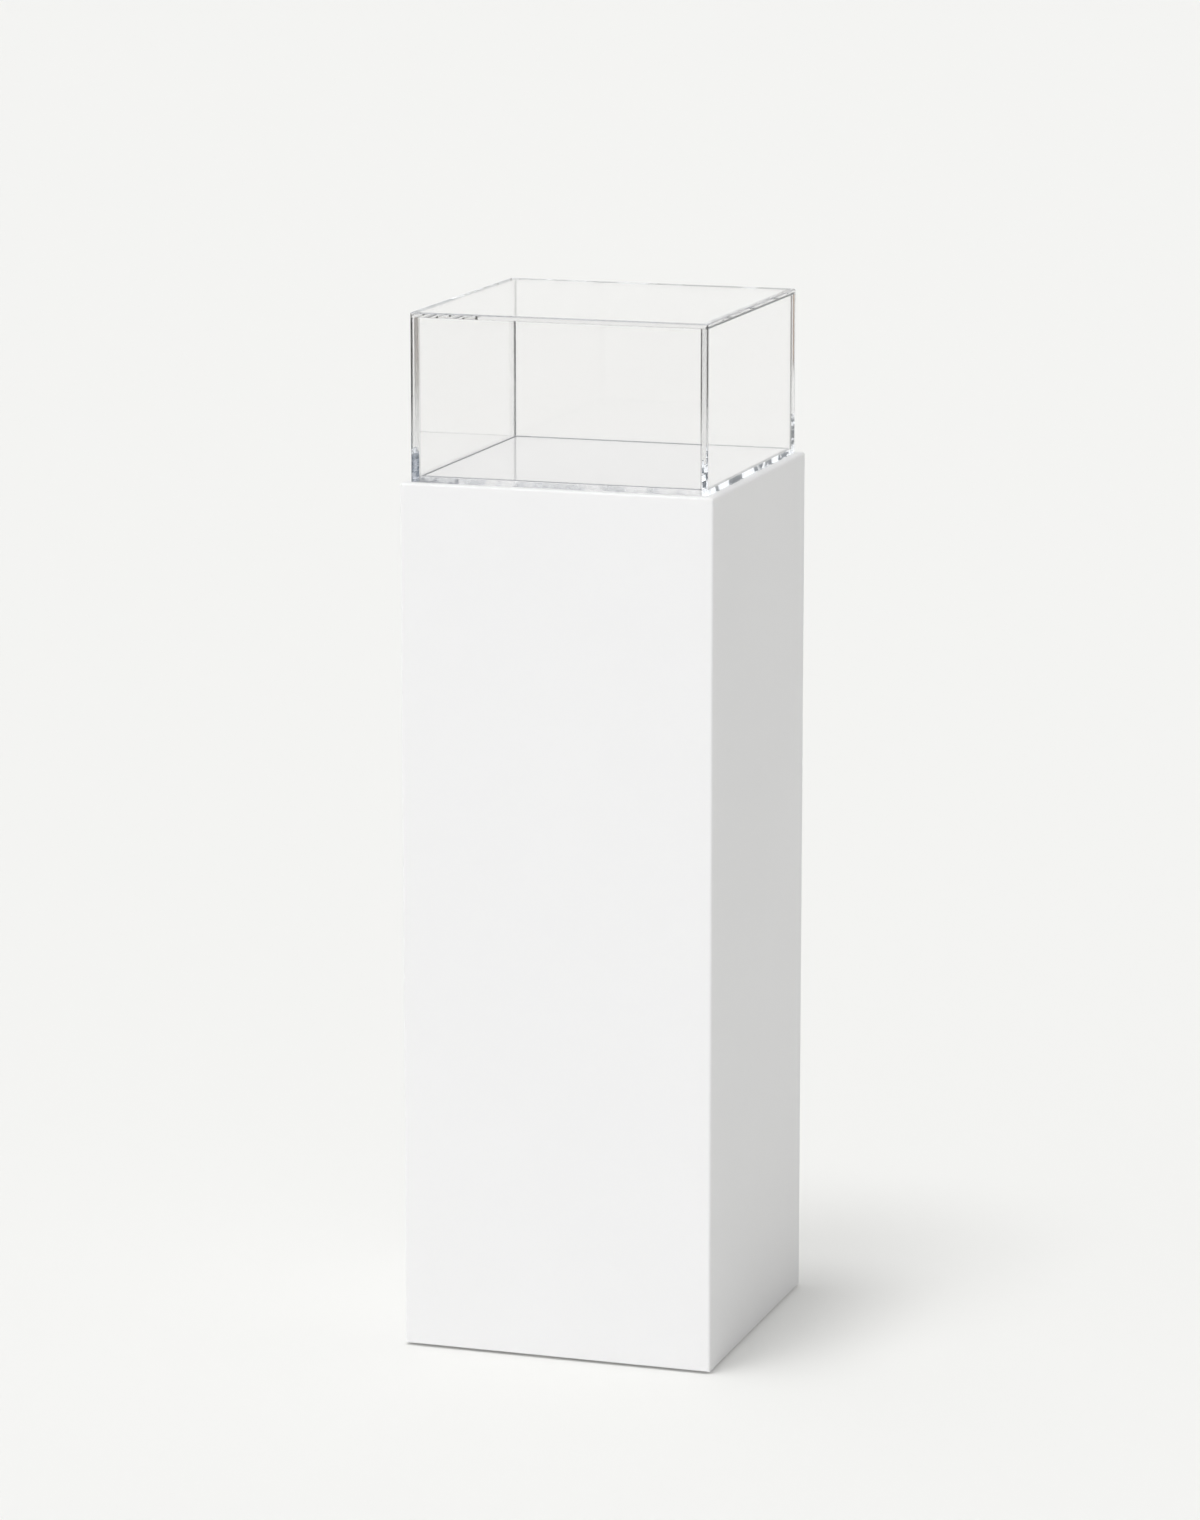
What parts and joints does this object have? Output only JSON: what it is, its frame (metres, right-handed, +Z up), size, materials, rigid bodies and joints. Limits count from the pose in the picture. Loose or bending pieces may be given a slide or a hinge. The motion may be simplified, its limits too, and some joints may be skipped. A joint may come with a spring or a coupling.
{
  "type": "pedestal display case",
  "caption": "Square upright display pedestal with a raised deck on top and a lift-off clear box cover over it, standing on low corner glides.",
  "frame": {"origin": "on the floor under the middle of the plinth, at the bottom of the glides", "axes": "+Z up; the front faces -Y; +X to the right seen from the front"},
  "size_m": [0.365, 0.365, 1.19],
  "materials": {
    "white_lacquer": "satin white lacquer on fibreboard",
    "softwood": "planed softwood",
    "fibreboard": "raw fibreboard",
    "beech": "pressed beech",
    "zinc_plated_steel": "satin",
    "nylon": "matte",
    "silicone": "matte",
    "clear_acrylic": "polished"
  },
  "bodies": {
    "plinth": {"front_panel": "white_lacquer", "back_panel": "white_lacquer", "left_panel": "white_lacquer", "right_panel": "white_lacquer", "top_panel": "white_lacquer", "base_panel": "fibreboard", "corner_batten_front_left": "softwood", "corner_batten_front_right": "softwood", "corner_batten_back_left": "softwood", "corner_batten_back_right": "softwood", "top_cleat_front": "softwood", "top_cleat_back": "softwood", "top_cleat_left": "softwood", "top_cleat_right": "softwood", "base_cleat_front": "softwood", "base_cleat_back": "softwood", "base_cleat_left": "softwood", "base_cleat_right": "softwood", "mid_diaphragm": "fibreboard", "mitre_biscuits": "beech", "base_screws": "zinc_plated_steel", "deck_board": "white_lacquer", "dust_seal": "silicone", "deck_screws": "zinc_plated_steel", "glide_front_left": "nylon", "glide_front_right": "nylon", "glide_back_left": "nylon", "glide_back_right": "nylon", "glide_nails": "zinc_plated_steel"},
    "cover": {"cover_front_pane": "clear_acrylic", "cover_back_pane": "clear_acrylic", "cover_left_pane": "clear_acrylic", "cover_right_pane": "clear_acrylic", "cover_top_pane": "clear_acrylic"}
  },
  "joints": [
    {"name": "cover_lift", "type": "slide", "parent": "plinth", "child": "cover", "axis": [0, 0, 1], "range_m": [0, 0.25]}
  ]
}
